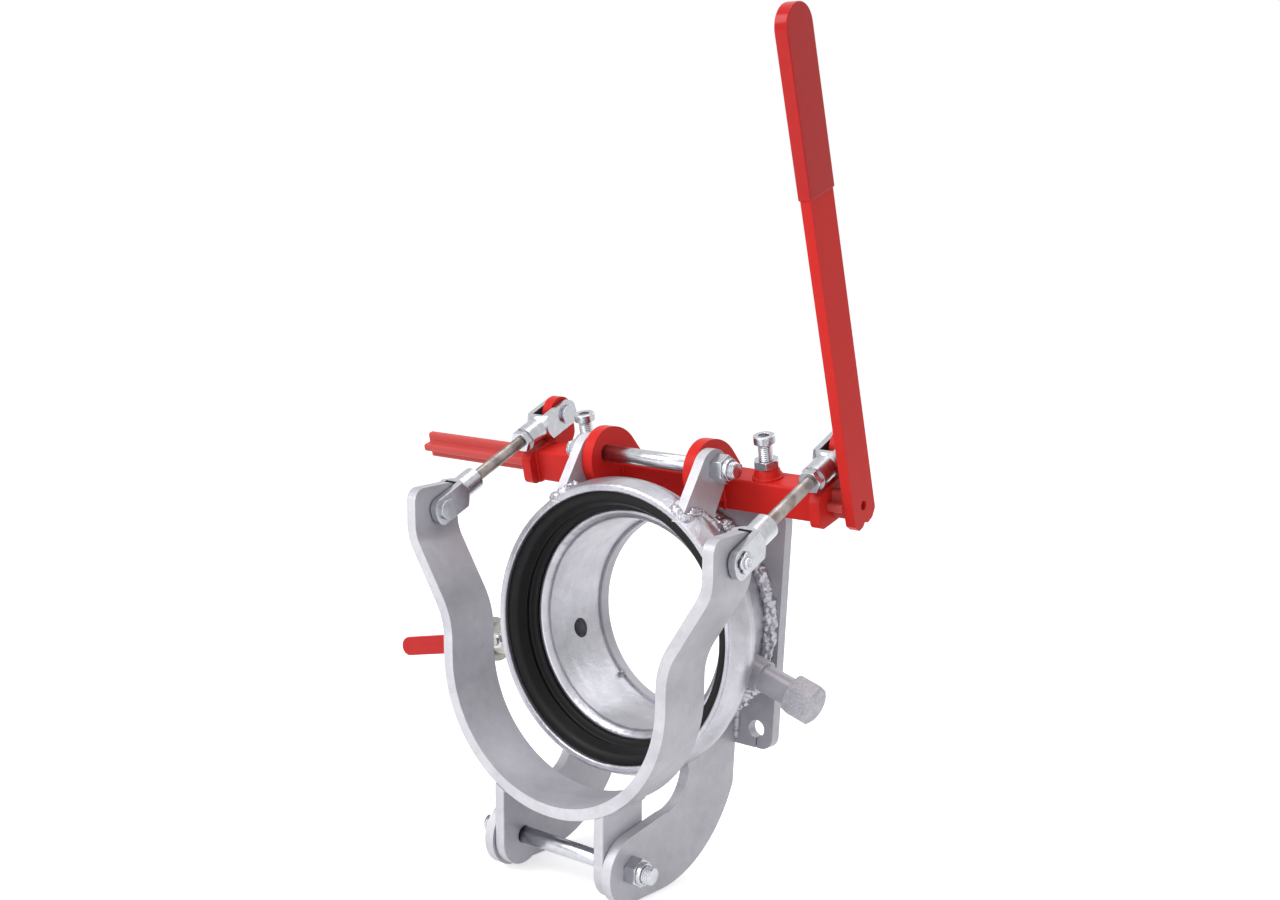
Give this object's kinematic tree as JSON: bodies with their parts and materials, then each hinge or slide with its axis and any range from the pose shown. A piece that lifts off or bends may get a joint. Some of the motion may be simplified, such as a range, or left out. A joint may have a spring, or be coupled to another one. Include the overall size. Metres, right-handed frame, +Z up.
{
  "type": "pipe quick coupling",
  "caption": "Female pipe coupling half with a bell socket and rubber seal, a bolted square flange, and a hand lever that pulls a swinging yoke shut through two links.",
  "frame": {"origin": "centre of the pipe bore in the flange's back face", "axes": "+Y along the pipe out of the flange's back, +X towards the hand lever, +Z up; the bell's mouth faces -Y"},
  "size_m": [0.5302, 0.2348, 0.7832],
  "materials": {
    "galvanised_steel": "hot-dip galvanised, dull and faintly mottled",
    "red_paint": "semi-gloss red paint",
    "zinc_plated_steel": "bright zinc plating",
    "rubber": "matt black",
    "red_vinyl": "glossy dipped vinyl",
    "plated_brass": "nickel plated",
    "stainless_steel": "polished",
    "seat_plastic": "white"
  },
  "bodies": {
    "coupling": {"flange_plate": "galvanised_steel", "barrel_tube": "galvanised_steel", "bell_socket": "galvanised_steel", "seal_ring": "rubber", "flange_weld": "galvanised_steel", "ear_left": "galvanised_steel", "ear_right": "galvanised_steel", "hinge_arm_left": "galvanised_steel", "hinge_arm_right": "galvanised_steel", "top_pivot_bolt": "zinc_plated_steel", "top_pivot_nuts": "zinc_plated_steel", "hinge_bolt": "zinc_plated_steel", "hinge_nuts": "zinc_plated_steel", "drain_socket": "galvanised_steel", "drain_nipple": "galvanised_steel", "drain_cap": "galvanised_steel", "valve_socket": "galvanised_steel", "valve_nipple": "galvanised_steel", "valve_body": "plated_brass", "valve_seats": "seat_plastic"},
    "valve_handle": {"valve_ball": "stainless_steel", "valve_stem": "plated_brass", "valve_lever": "zinc_plated_steel", "valve_grip": "red_vinyl", "valve_stem_nut": "zinc_plated_steel"},
    "lever_frame": {"pivot_disc_left": "red_paint", "pivot_disc_right": "red_paint", "crossbar_tube": "red_paint", "end_plate_left": "red_paint", "end_plate_right": "red_paint", "screw_bosses": "red_paint", "screw_nuts": "zinc_plated_steel", "clamp_screw_left": "zinc_plated_steel", "clamp_screw_right": "zinc_plated_steel", "star_bar": "red_paint", "lever_bar": "red_paint", "lever_grip": "red_vinyl"},
    "yoke": {"yoke_band": "galvanised_steel", "yoke_lug_left": "galvanised_steel", "yoke_lug_right": "galvanised_steel"},
    "link_left": {"upper_fork_left": "zinc_plated_steel", "lower_fork_left": "zinc_plated_steel", "upper_pin_left": "zinc_plated_steel", "lower_pin_left": "zinc_plated_steel", "pin_clips_left": "zinc_plated_steel", "threaded_rod_left": "zinc_plated_steel", "rod_lock_nut_left": "zinc_plated_steel"},
    "link_right": {"upper_fork_right": "zinc_plated_steel", "lower_fork_right": "zinc_plated_steel", "upper_pin_right": "zinc_plated_steel", "lower_pin_right": "zinc_plated_steel", "pin_clips_right": "zinc_plated_steel", "threaded_rod_right": "zinc_plated_steel", "rod_lock_nut_right": "zinc_plated_steel"}
  },
  "joints": [
    {"name": "lever_swing", "type": "hinge", "parent": "coupling", "child": "lever_frame", "pos_m": [0, -0.072, 0.1575], "axis": [1, 0, 0], "range_deg": [0, 60]},
    {"name": "link_left_swing", "type": "hinge", "parent": "lever_frame", "child": "link_left", "pos_m": [-0.17, -0.0085, 0.182], "axis": [1, 0, 0], "range_deg": [-44.71, 0]},
    {"name": "link_right_swing", "type": "hinge", "parent": "lever_frame", "child": "link_right", "pos_m": [0.17, -0.0085, 0.182], "axis": [1, 0, 0], "range_deg": [-44.71, 0]},
    {"name": "yoke_swing", "type": "hinge", "parent": "coupling", "child": "yoke", "pos_m": [0, -0.172, -0.202], "axis": [1, 0, 0], "range_deg": [0, 4.73]},
    {"name": "valve_turn", "type": "hinge", "parent": "coupling", "child": "valve_handle", "pos_m": [-0.18024, -0.046, -0.05168], "axis": [0, 1, 0], "range_deg": [-90, 0]}
  ],
  "couplings": [
    {"joint": "link_left_swing", "follows": "lever_swing", "ratio": -0.7368},
    {"joint": "link_right_swing", "follows": "lever_swing", "ratio": -0.7368},
    {"joint": "yoke_swing", "follows": "lever_swing", "ratio": 0.0755}
  ]
}
